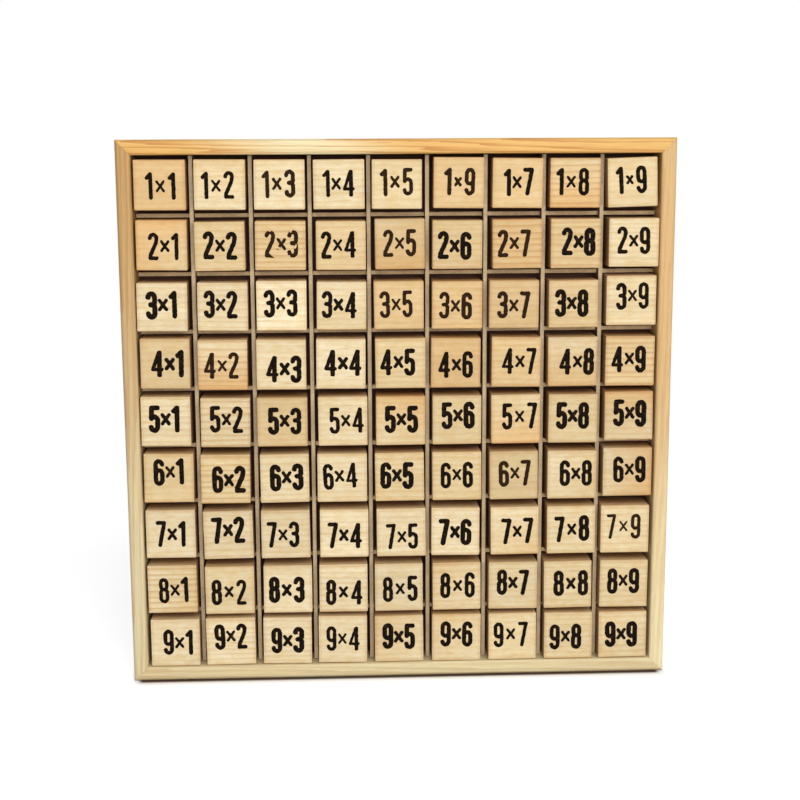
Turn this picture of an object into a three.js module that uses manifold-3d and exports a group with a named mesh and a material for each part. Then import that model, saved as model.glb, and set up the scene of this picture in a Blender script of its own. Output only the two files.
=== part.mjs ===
// A wooden multiplication board: a square mitred tray standing on its edge, an egg-crate of thin slats in it,
// and a wooden tile in each of its cells. Millimetres, +Z up, the printed side towards -Y.
// The origin is under the middle of the bottom rail, halfway through the tray's depth.
import * as THREE from "three";
import { mergeVertices } from "three/addons/utils/BufferGeometryUtils.js";
import Module from "manifold-3d";

// Driving dimensions of the tiles and of the room that each has in its cell
const COUNT = 9;
const TILE = 20.2;
const TILE_DEPTH = 15;
const TILE_EASE = 0.5;
const TILE_PLAY = 1.6;
const SEAT_GAP = 0.1;
const FOOT_RISE = 0.15;

// Driving dimensions of the slats. The column slats stand proud of the row slats.
const SLAT = 1.5;
const SLAT_RECESS = 10;
const COLUMN_PROUD = 4;
const SLAT_END_GAP = 0.3;
const NOTCH_GAP = 0.15;

// Driving dimensions of the rails and of the back panel
const RAIL_FACE = 6;
const RAIL_EASE = 1.2;
const RAIL_PROUD = 0.4;
const MITRE_GAP = 0.3;
const PANEL = 3;
const PANEL_LAP = 3;
const PANEL_GAP = 0.3;

// Rows from the top whose tiles are single pieces. Below them the tiles of a row hold together by small
// bridges, which pass in front of the column slats, so that the row lifts out as one piece.
const LOOSE_ROWS = 3;
const BRIDGE = 1.2;
const BRIDGE_GAP = 0.5;

// Tiles, as row x column, that stand at the left or right of their cells, and tight ones that stand higher
const LEFT_TILES =
  "1x5 1x9 2x2 3x1 3x7 4x2 4x3 4x6 5x1 5x3 6x2 7x6 7x9 8x5 8x8 8x9 9x4 9x5 9x9".split(" ");
const RIGHT_TILES =
  "1x6 1x7 2x4 2x5 2x7 2x8 2x9 3x4 4x5 4x7 5x4 5x5 5x7 5x8 6x8 7x4 7x5 7x7 7x8 8x3 9x1".split(" ");
const RAISED_TILES = "2x1 2x9 3x9 4x1 5x1 5x9 6x1 6x9 7x1 8x1".split(" ");

// Facets of the quarter turn on a rail's eased edge
const EASE_FACETS = 3;

// Sizes that follow from the driving ones
const CELL = TILE + TILE_PLAY;
const PITCH = CELL + SLAT;
const INNER = COUNT * CELL + (COUNT - 1) * SLAT;
const OUTER = INNER + 2 * RAIL_FACE;
const MIDDLE = OUTER / 2;
const ROW_DROP = 0.75 * TILE_PLAY;
const TILE_RISE = 0.5 * TILE_PLAY;
const SIDE_SHIFT = TILE_PLAY / 3;

// Depths, from the front of the rails back to the panel
const RAIL_DEPTH = RAIL_PROUD + TILE_DEPTH + SEAT_GAP + PANEL;
const FRONT = -RAIL_DEPTH / 2;
const TILE_FRONT = FRONT + RAIL_PROUD;
const TILE_MIDDLE = TILE_FRONT + TILE_DEPTH / 2;
const PANEL_FRONT = TILE_FRONT + TILE_DEPTH + SEAT_GAP;
const ROW_SLAT_FRONT = TILE_FRONT + SLAT_RECESS;
const COLUMN_SLAT_FRONT = ROW_SLAT_FRONT - COLUMN_PROUD;
const SLAT_LAP = (ROW_SLAT_FRONT + PANEL_FRONT) / 2;

const wasm = await Module();
wasm.setup();

const board = new THREE.Group();

function addPiece(name, geometry, color, roughness) {
  const material = new THREE.MeshStandardMaterial({ color, roughness, metalness: 0 });
  const piece = new THREE.Mesh(geometry, material);
  piece.name = name;
  board.add(piece);
  return piece;
}

// How far a column lies right of the board's middle, or a row below it, counted from 1
function fromMiddle(number) {
  return (number - (COUNT + 1) / 2) * PITCH;
}

// The cells of the top row are a little tall, so the row slats sit lower than even places, and the bottom
// row has the least play. A row's drop is that of the slat or rail below it.
function rowDrop(number) {
  return number < COUNT ? ROW_DROP : 0;
}

// How far a slat lies right of the board's middle, or below it
function columnSlatAway(number) {
  return fromMiddle(number) + PITCH / 2;
}

function rowSlatAway(number) {
  return fromMiddle(number) + PITCH / 2 + rowDrop(number);
}

// A closed geometry as a solid for joining, left with its shared corner points only
function solidOf(geometry) {
  geometry.deleteAttribute("normal");
  geometry.deleteAttribute("uv");
  const merged = mergeVertices(geometry);
  const mesh = new wasm.Mesh({
    numProp: 3,
    vertProperties: merged.attributes.position.array,
    triVerts: new Uint32Array(merged.index.array),
  });
  return new wasm.Manifold(mesh);
}

function geometryOf(solid) {
  const mesh = solid.getMesh();
  const geometry = new THREE.BufferGeometry();
  geometry.setAttribute("position", new THREE.BufferAttribute(mesh.vertProperties, 3));
  geometry.setIndex(new THREE.BufferAttribute(mesh.triVerts, 1));
  geometry.computeVertexNormals();
  return geometry;
}

// Rail profile: x is the distance in from the outer side and y the depth from the front.
// Both front edges are eased, and a rabbet behind takes the back panel.
function railProfile() {
  const profile = new THREE.Shape();
  profile.moveTo(0, RAIL_DEPTH);
  profile.lineTo(0, RAIL_EASE);
  profile.absarc(RAIL_EASE, RAIL_EASE, RAIL_EASE, Math.PI, 1.5 * Math.PI);
  profile.absarc(RAIL_FACE - RAIL_EASE, RAIL_EASE, RAIL_EASE, 1.5 * Math.PI, 2 * Math.PI);
  profile.lineTo(RAIL_FACE, RAIL_DEPTH - PANEL);
  profile.lineTo(RAIL_FACE - PANEL_LAP, RAIL_DEPTH - PANEL);
  profile.lineTo(RAIL_FACE - PANEL_LAP, RAIL_DEPTH);
  profile.closePath();
  return profile;
}

// The rail as it lies at the bottom, about the board's middle. Its ends are mitred by moving each end point
// in by its own distance from the outer side, and by half of the gap in the mitre.
function railGeometry() {
  const geometry = new THREE.ExtrudeGeometry(railProfile(), {
    depth: OUTER,
    bevelEnabled: false,
    curveSegments: EASE_FACETS,
  });
  const points = geometry.attributes.position;
  const mitreInset = MITRE_GAP / Math.SQRT2;
  for (let i = 0; i < points.count; i += 1) {
    const inward = points.getX(i);
    const depth = points.getY(i);
    const side = points.getZ(i) > MIDDLE ? -1 : 1;
    points.setXYZ(i, side * (MIDDLE - mitreInset - inward), FRONT + depth, inward - MIDDLE);
  }
  geometry.computeVertexNormals();
  return geometry;
}

// The four rails, in the order of the quarter turns that carry the bottom one round the board
const RAILS = [
  { name: "rail_bottom", color: 0xd9c593 },
  { name: "rail_left", color: 0xcfab70 },
  { name: "rail_top", color: 0xe0a860 },
  { name: "rail_right", color: 0xe3bd86 },
];
RAILS.forEach(({ name, color }, quarter) => {
  const rail = addPiece(name, railGeometry(), color, 0.6);
  rail.rotation.y = (quarter * Math.PI) / 2;
  rail.position.z = MIDDLE;
});

// The back panel lies in the rails' rabbets, flush with their backs
const panelSide = INNER + 2 * (PANEL_LAP - PANEL_GAP);
const panelGeometry = new THREE.BoxGeometry(panelSide, PANEL, panelSide);
const backPanel = addPiece("back_panel", panelGeometry, 0x4a2a17, 0.75);
backPanel.position.set(0, PANEL_FRONT + PANEL / 2, MIDDLE);

// A slat seen from its side: x runs along it and y is the depth. It has a notch at each crossing, cut from
// the front in a row slat and from behind in a column slat, to half of the row slat's depth.
function slatOutline(isRow) {
  const end = INNER / 2 - SLAT_END_GAP;
  const halfNotch = SLAT / 2 + NOTCH_GAP;
  const notchedEdge = isRow ? ROW_SLAT_FRONT : PANEL_FRONT;
  const plainEdge = isRow ? PANEL_FRONT : COLUMN_SLAT_FRONT;
  const notchFloor = SLAT_LAP + (isRow ? NOTCH_GAP : -NOTCH_GAP) / 2;
  const outline = new THREE.Shape();
  outline.moveTo(-end, notchedEdge);
  for (let crossing = 1; crossing < COUNT; crossing += 1) {
    const middle = isRow ? columnSlatAway(crossing) : rowSlatAway(crossing);
    outline.lineTo(middle - halfNotch, notchedEdge);
    outline.lineTo(middle - halfNotch, notchFloor);
    outline.lineTo(middle + halfNotch, notchFloor);
    outline.lineTo(middle + halfNotch, notchedEdge);
  }
  outline.lineTo(end, notchedEdge);
  outline.lineTo(end, plainEdge);
  outline.lineTo(-end, plainEdge);
  outline.closePath();
  return outline;
}

function slatGeometry(isRow) {
  const geometry = new THREE.ExtrudeGeometry(slatOutline(isRow), { depth: SLAT, bevelEnabled: false });
  return geometry.translate(0, 0, -SLAT / 2);
}

for (let number = 1; number < COUNT; number += 1) {
  const rowSlat = addPiece(`row_slat_${number}`, slatGeometry(true), 0xcbb797, 0.85);
  rowSlat.position.z = MIDDLE - rowSlatAway(number);
  const columnSlat = addPiece(`column_slat_${number}`, slatGeometry(false), 0xc5b191, 0.85);
  columnSlat.rotation.y = Math.PI / 2;
  columnSlat.position.set(columnSlatAway(number), 0, MIDDLE);
}

// A tile about its own middle, with eased edges front and back
function tileGeometry() {
  const half = TILE / 2 - TILE_EASE;
  const face = new THREE.Shape();
  face.moveTo(-half, -half);
  face.lineTo(half, -half);
  face.lineTo(half, half);
  face.lineTo(-half, half);
  face.closePath();
  const geometry = new THREE.ExtrudeGeometry(face, {
    depth: TILE_DEPTH - 2 * TILE_EASE,
    bevelSize: TILE_EASE,
    bevelThickness: TILE_EASE,
    bevelSegments: 1,
  });
  return geometry.rotateX(Math.PI / 2).center();
}

// Where a tile stands from left to right
function tileX(row, column) {
  const place = `${row}x${column}`;
  const side = Number(RIGHT_TILES.includes(place)) - Number(LEFT_TILES.includes(place));
  return fromMiddle(column) + side * SIDE_SHIFT;
}

// The height at which a row's tiles rest on the slat or rail below
function rowZ(row) {
  return MIDDLE - fromMiddle(row) - rowDrop(row) - CELL / 2 + SEAT_GAP + TILE / 2;
}

// What a tile stands above that: less and less down the loose rows, a little in the bottom row, and more
// where the tile is tight
function tileRise(row, column) {
  const rowRise = row === COUNT ? FOOT_RISE : TILE_PLAY * Math.max(1 - (row - 1) / LOOSE_ROWS, 0);
  if (!RAISED_TILES.includes(`${row}x${column}`)) return rowRise;
  return Math.min(rowRise + TILE_RISE, TILE_PLAY - 2 * SEAT_GAP);
}

// A whole row of tiles about the middle of its depth and height, joined from neighbour to neighbour
function tileRowGeometry(row) {
  const bridgeY = COLUMN_SLAT_FRONT - BRIDGE_GAP - BRIDGE / 2 - TILE_MIDDLE;
  let joined = solidOf(tileGeometry().translate(tileX(row, 1), 0, tileRise(row, 1)));
  for (let column = 2; column <= COUNT; column += 1) {
    const x = tileX(row, column);
    const beforeX = tileX(row, column - 1);
    const bridge = new THREE.BoxGeometry(x - beforeX, BRIDGE, BRIDGE);
    joined = joined.add(solidOf(tileGeometry().translate(x, 0, tileRise(row, column))));
    joined = joined.add(solidOf(bridge.translate((x + beforeX) / 2, bridgeY, 0)));
  }
  return geometryOf(joined);
}

const TILE_COLOR = 0xe8d5a5;
const TILE_ROUGHNESS = 0.65;
for (let row = 1; row <= LOOSE_ROWS; row += 1) {
  for (let column = 1; column <= COUNT; column += 1) {
    const tile = addPiece(`tile_${row}x${column}`, tileGeometry(), TILE_COLOR, TILE_ROUGHNESS);
    tile.position.set(tileX(row, column), TILE_MIDDLE, rowZ(row) + tileRise(row, column));
  }
}
for (let row = LOOSE_ROWS + 1; row <= COUNT; row += 1) {
  const tiles = addPiece(`tile_row_${row}`, tileRowGeometry(row), TILE_COLOR, TILE_ROUGHNESS);
  tiles.position.set(0, TILE_MIDDLE, rowZ(row));
}

export default board;
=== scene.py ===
"""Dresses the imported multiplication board: pine rails, a hardboard back, fibreboard slats and stamped tiles.

It stands on its bottom rail with the stamped side towards -Y. Metres, +Z up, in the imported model's frame.
"""

import math
import random

import bmesh
import bpy
import numpy as np
from mathutils import Matrix, Vector
from mathutils.geometry import tessellate_polygon


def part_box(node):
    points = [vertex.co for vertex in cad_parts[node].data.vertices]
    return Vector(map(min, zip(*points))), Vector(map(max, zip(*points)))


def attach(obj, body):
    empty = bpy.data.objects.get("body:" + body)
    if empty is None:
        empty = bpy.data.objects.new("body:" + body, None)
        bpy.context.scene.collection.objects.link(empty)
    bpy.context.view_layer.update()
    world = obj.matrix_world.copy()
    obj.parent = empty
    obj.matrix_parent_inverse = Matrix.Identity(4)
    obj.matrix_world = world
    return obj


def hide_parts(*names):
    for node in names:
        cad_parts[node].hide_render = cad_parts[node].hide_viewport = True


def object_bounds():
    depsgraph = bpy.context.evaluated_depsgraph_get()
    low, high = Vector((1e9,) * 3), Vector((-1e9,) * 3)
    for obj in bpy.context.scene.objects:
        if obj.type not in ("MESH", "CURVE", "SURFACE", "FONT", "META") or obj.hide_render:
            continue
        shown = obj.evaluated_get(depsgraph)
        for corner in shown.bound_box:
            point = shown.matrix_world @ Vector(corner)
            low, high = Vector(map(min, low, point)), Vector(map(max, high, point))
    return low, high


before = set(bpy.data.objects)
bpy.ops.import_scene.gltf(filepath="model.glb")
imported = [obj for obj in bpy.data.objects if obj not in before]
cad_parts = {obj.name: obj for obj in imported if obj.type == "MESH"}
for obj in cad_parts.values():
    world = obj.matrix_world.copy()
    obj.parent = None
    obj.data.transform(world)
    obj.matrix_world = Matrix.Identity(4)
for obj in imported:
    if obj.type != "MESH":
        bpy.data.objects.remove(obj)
cad_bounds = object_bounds()

bl_info = {
    "name": "Multiplication Board",
    "version": (1, 0, 0),
    "blender": (4, 5, 0),
    "location": "3D View > Sidebar > Board",
    "description": "Builds the rails, back, slats and stamped tiles of a wooden multiplication board",
    "category": "Object",
}

MM = 0.001
COUNT = 9

# What the properties of one kind share
ANGLE = {"subtype": "ANGLE", "unit": "ROTATION"}
PLACE = {"subtype": "TRANSLATION", "unit": "LENGTH"}
COLOUR = {"size": 4, "subtype": "COLOR", "min": 0, "max": 1}


def linear(hex_colour):
    """The linear colour, with an alpha of 1, of an sRGB hex value such as #EBCB8F."""
    shares = [int(hex_colour[place:place + 2], 16) / 255 for place in (1, 3, 5)]
    return tuple(s / 12.92 if s <= 0.04045 else ((s + 0.055) / 1.055) ** 2.4 for s in shares) + (1.0,)


class BoardSizes(bpy.types.PropertyGroup):
    """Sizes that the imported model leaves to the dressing."""

    rail_ease: bpy.props.FloatProperty(
        name="Rail edge radius", description="Rounding along both front edges of a rail",
        default=1.4 * MM, unit="LENGTH")
    mitre_gap: bpy.props.FloatProperty(
        name="Mitre gap", description="Width of the line where two rails meet",
        default=0.06 * MM, unit="LENGTH")
    slat_ease: bpy.props.FloatProperty(
        name="Slat edge radius", description="Rounding of the sawn edges of slats and back",
        default=0.15 * MM, unit="LENGTH")
    tile_ease: bpy.props.FloatProperty(
        name="Tile edge radius", description="Rounding of all edges of a tile",
        default=0.5 * MM, unit="LENGTH")
    tile_trim: bpy.props.FloatProperty(
        name="Tile shortfall", description="Most by which a tile of the top rows is short",
        default=1.2 * MM, unit="LENGTH")
    tile_turn: bpy.props.FloatProperty(
        name="Tile turn", description="Most by which a tile leans to one side in its cell",
        default=math.radians(0.5), **ANGLE)
    stamp_turn: bpy.props.FloatProperty(
        name="Stamp turn", description="Most by which a sum leans to one side on its tile",
        default=math.radians(1.0), **ANGLE)
    digit_height: bpy.props.FloatProperty(
        name="Digit height", description="Height of a stamped digit over its strokes",
        default=10.8 * MM, unit="LENGTH")
    digit_width: bpy.props.FloatProperty(
        name="Digit width", description="Width of a stamped digit over its strokes",
        default=4.2 * MM, unit="LENGTH")
    cross_height: bpy.props.FloatProperty(
        name="Cross height", description="Height of the multiplication cross",
        default=4.7 * MM, unit="LENGTH")
    cross_width: bpy.props.FloatProperty(
        name="Cross width", description="Width of the multiplication cross",
        default=3.7 * MM, unit="LENGTH")
    stroke: bpy.props.FloatProperty(
        name="Stroke width", description="Width of a digit's strokes as most tiles have them",
        default=1.6 * MM, unit="LENGTH")
    stroke_change: bpy.props.FloatProperty(
        name="Stroke change", description="What a heavy stamp adds to the stroke, or a thin one takes off",
        default=0.38 * MM, unit="LENGTH")
    cross_stroke: bpy.props.FloatProperty(
        name="Cross stroke", description="What the cross's strokes are narrower than a digit's",
        default=0.52 * MM, unit="LENGTH")
    stamp_gap: bpy.props.FloatProperty(
        name="Stamp gap", description="Room between a digit and the cross",
        default=0.55 * MM, unit="LENGTH")
    ink_film: bpy.props.FloatProperty(
        name="Ink film", description="Thickness of the stamped ink",
        default=0.03 * MM, unit="LENGTH")


class BoardColours(bpy.types.PropertyGroup):
    """Main colours of the woods, boards and ink."""

    tile_plain: bpy.props.FloatVectorProperty(
        name="Plain tile", description="Pine of most tiles",
        default=linear("#DBD7B4"), **COLOUR)
    tile_pale: bpy.props.FloatVectorProperty(
        name="Pale tile", description="Sapwood of the palest tiles",
        default=linear("#EBEED6"), **COLOUR)
    tile_warm: bpy.props.FloatVectorProperty(
        name="Warm tile", description="Heartwood of the warmest tiles",
        default=linear("#D7B27B"), **COLOUR)
    ink: bpy.props.FloatVectorProperty(
        name="Ink", description="Stamping ink",
        default=linear("#100A05"), **COLOUR)
    # One fibreboard, painted lighter in the row slats, which lie deep in the tiles' shade, and darker in the
    # column slats, which lie nearer the front: painted light and painted shade
    slat_row: bpy.props.FloatVectorProperty(
        name="Row slat", description="Fibreboard of the row slats",
        default=linear("#DEC194"), **COLOUR)
    slat_column: bpy.props.FloatVectorProperty(
        name="Column slat", description="Fibreboard of the column slats",
        default=linear("#C8B18D"), **COLOUR)
    # The front of the back is dark hardboard, made darker still as painted shade for the deep gaps between
    # tiles and slats
    back: bpy.props.FloatVectorProperty(
        name="Back", description="Smooth front of the hardboard back",
        default=linear("#4A2A17"), **COLOUR)
    back_rear: bpy.props.FloatVectorProperty(
        name="Back, rear", description="Rough rear of the hardboard back",
        default=linear("#8A6240"), **COLOUR)
    rail_bottom: bpy.props.FloatVectorProperty(
        name="Bottom rail", description="Pine of the bottom rail",
        default=linear("#D0BC90"), **COLOUR)
    rail_left: bpy.props.FloatVectorProperty(
        name="Left rail", description="Pine at the top of the left rail",
        default=linear("#B48D53"), **COLOUR)
    rail_top: bpy.props.FloatVectorProperty(
        name="Top rail", description="Pine of the top rail",
        default=linear("#D5A75B"), **COLOUR)
    rail_right: bpy.props.FloatVectorProperty(
        name="Right rail", description="Pine at the top of the right rail",
        default=linear("#C9A46D"), **COLOUR)
    sapwood: bpy.props.FloatVectorProperty(
        name="Rail sapwood", description="Pale pine that runs into the rails",
        default=linear("#D5C69B"), **COLOUR)


class BoardStage(bpy.types.PropertyGroup):
    """Camera, lamps and floor."""

    camera_place: bpy.props.FloatVectorProperty(
        name="Camera place", description="Where the camera stands",
        default=(-24.2 * MM, -578.7 * MM, 217.1 * MM), **PLACE)
    camera_down: bpy.props.FloatProperty(
        name="Look down", description="How far the camera looks down",
        default=math.radians(9.99), **ANGLE)
    camera_right: bpy.props.FloatProperty(
        name="Look right", description="How far the camera turns to the right",
        default=math.radians(2.46), **ANGLE)
    camera_roll: bpy.props.FloatProperty(
        name="Roll", description="How far the camera leans to its right",
        default=math.radians(0.26), **ANGLE)
    lens: bpy.props.FloatProperty(
        name="Lens", description="Focal length on a sensor 36 mm wide", unit="CAMERA", default=64.76)
    key_power: bpy.props.FloatProperty(
        name="Key lamp", description="Power of the broad soft lamp in front", unit="POWER", default=21.0)
    key_place: bpy.props.FloatVectorProperty(
        name="Key lamp place", description="Where the broad lamp hangs",
        default=(0.25, -1.2, 0.75), **PLACE)
    lamp_side: bpy.props.FloatProperty(
        name="Lamp side", description="Side of both square lamps", unit="LENGTH", default=1.3)
    rear_power: bpy.props.FloatProperty(
        name="Rear lamp", description="Power of the weaker lamp behind", unit="POWER", default=8.0)
    rear_place: bpy.props.FloatVectorProperty(
        name="Rear lamp place", description="Where the weaker lamp hangs",
        default=(-0.5, 1.2, 0.75), **PLACE)
    fill: bpy.props.FloatProperty(
        name="Fill", description="Strength of the even light from all round", default=0.25)
    floor: bpy.props.FloatVectorProperty(
        name="Floor", description="Colour of the floor",
        default=linear("#F4F4F6"), **COLOUR)


# Settings that many nodes share: to mix colours, to multiply them, and to ease both ends of a range
BLEND = {"data_type": "RGBA"}
MULTIPLY = {"data_type": "RGBA", "blend_type": "MULTIPLY"}
SMOOTH = {"interpolation_type": "SMOOTHSTEP"}


def add_node(tree, kind, settings=None, links=None):
    """Adds a shader node. A setting is a property or an input's value, and a link feeds an input."""
    node = tree.nodes.new("ShaderNode" + kind)
    for key, value in (settings or {}).items():
        if isinstance(key, str) and hasattr(node, key):
            setattr(node, key, value)
        else:
            node.inputs[key].default_value = value
    for key, socket in (links or {}).items():
        tree.links.new(socket, node.inputs[key])
    return node


def start_material(name):
    """A material with an empty node tree."""
    material = bpy.data.materials.new(name)
    material.use_nodes = True
    material.node_tree.nodes.clear()
    return material, material.node_tree


def band_scale(period):
    """Scale at which Blender's wave texture repeats every period, in the units of its vector."""
    return 2 * math.pi / (20 * period)


def shade(colour, share):
    """A colour made darker, or with a share above 1 lighter."""
    return tuple(min(c * share, 1.0) for c in colour[:3]) + (1.0,)


def in_millimetres(tree):
    """A node with the object's coordinates, and one with the same in millimetres for patterns."""
    coordinates = add_node(tree, "TexCoord")
    millimetres = add_node(
        tree, "VectorMath", {"operation": "SCALE", "Scale": 1 / MM},
        {0: coordinates.outputs["Object"]})
    return coordinates, millimetres


def planed_pine(name, colour, sapwood, pale_place, pale_reach, streaks, painted_edge_shade, cut):
    """Planed pine with the grain along X: growth rings sliced lengthwise as streaks that wander a little,
    each darkening slowly to late wood, under silky fibres. Heartwood of the given colour turns to sapwood
    about one place along the rail. The outer rounded edge is painted darker by the given share: painted
    shade, strongest on the bottom rail. Cut moves each rail to another part of the plank."""
    material, tree = start_material(name)
    # Widths in millimetres, drawn out along the grain. Real fibres are too fine to show: these are coarser.
    along = 30.0
    ring_width = 1.25
    patch_width = 9.0
    fibre_width = 0.35
    # How far the bounds of the sapwood wander along the rail
    wander = 60 * MM
    coordinates = add_node(tree, "TexCoord")
    grain = add_node(
        tree, "VectorMath", {"operation": "MULTIPLY_ADD", 1: (1 / MM / along, 1 / MM, 1 / MM), 2: cut},
        {0: coordinates.outputs["Object"]})
    rings = add_node(
        tree, "TexWave",
        {"wave_type": "BANDS", "bands_direction": "DIAGONAL", "wave_profile": "SAW",
         "Scale": band_scale(ring_width), "Distortion": 7.0, "Detail": 3.0, "Detail Scale": 1.6},
        {"Vector": grain.outputs[0]})
    patches = add_node(
        tree, "TexNoise", {"Scale": 1 / patch_width, "Detail": 2.0},
        {"Vector": grain.outputs[0]})
    fibres = add_node(
        tree, "TexNoise", {"Scale": 1 / fibre_width, "Detail": 3.0, "Roughness": 0.65},
        {"Vector": grain.outputs[0]})
    axes = add_node(tree, "SeparateXYZ", None, {0: coordinates.outputs["Object"]})
    wandering = add_node(
        tree, "Math", {"operation": "MULTIPLY_ADD", 1: wander},
        {0: patches.outputs["Fac"], 2: axes.outputs["X"]})
    away = add_node(
        tree, "Math", {"operation": "SUBTRACT", 1: pale_place + wander / 2},
        {0: wandering.outputs[0]})
    distance = add_node(tree, "Math", {"operation": "ABSOLUTE"}, {0: away.outputs[0]})
    pale_share = add_node(
        tree, "MapRange", {**SMOOTH, "From Min": pale_reach, "From Max": 0.0},
        {"Value": distance.outputs[0]})
    base = add_node(tree, "Mix", {**BLEND, 6: colour, 7: sapwood}, {0: pale_share.outputs[0]})
    late_wood = add_node(
        tree, "MapRange", {**SMOOTH, "From Min": 0.35, "From Max": 1.0, "To Max": streaks},
        {"Value": rings.outputs["Fac"]})
    streaked = add_node(
        tree, "Mix", {**MULTIPLY, 7: linear("#D8B28A")},
        {0: late_wood.outputs[0], 6: base.outputs[2]})
    fibre_tone = add_node(
        tree, "MapRange", {"From Min": 0.3, "From Max": 0.7, "To Min": 0.88, "To Max": 1.08},
        {"Value": fibres.outputs["Fac"]})
    toned = add_node(
        tree, "Mix", {**MULTIPLY, 0: 1.0},
        {6: streaked.outputs[2], 7: fibre_tone.outputs[0]})
    # Painted shade: the outer rounded edge, which the mesh marks, darkens towards dark brown by the rail's
    # share
    outer = add_node(tree, "Attribute", {"attribute_name": "outer"})
    painted_edge_shade_share = add_node(tree, "Math", {"operation": "MULTIPLY", 1: painted_edge_shade}, {0: outer.outputs["Fac"]})
    painted_edge_shaded = add_node(
        tree, "Mix", {**BLEND, 7: linear("#4A3A28")},
        {0: painted_edge_shade_share.outputs[0], 6: toned.outputs[2]})
    roughness = add_node(
        tree, "MapRange", {"To Min": 0.5, "To Max": 0.68},
        {"Value": fibres.outputs["Fac"]})
    relief = add_node(
        tree, "Bump", {"Strength": 0.35, "Distance": 0.06 * MM},
        {"Height": fibres.outputs["Fac"]})
    surface = add_node(
        tree, "BsdfPrincipled", {"IOR": 1.5},
        {"Base Color": painted_edge_shaded.outputs[2], "Roughness": roughness.outputs[0], "Normal": relief.outputs[0]})
    add_node(tree, "OutputMaterial", None, {"Surface": surface.outputs[0]})
    return material


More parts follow.
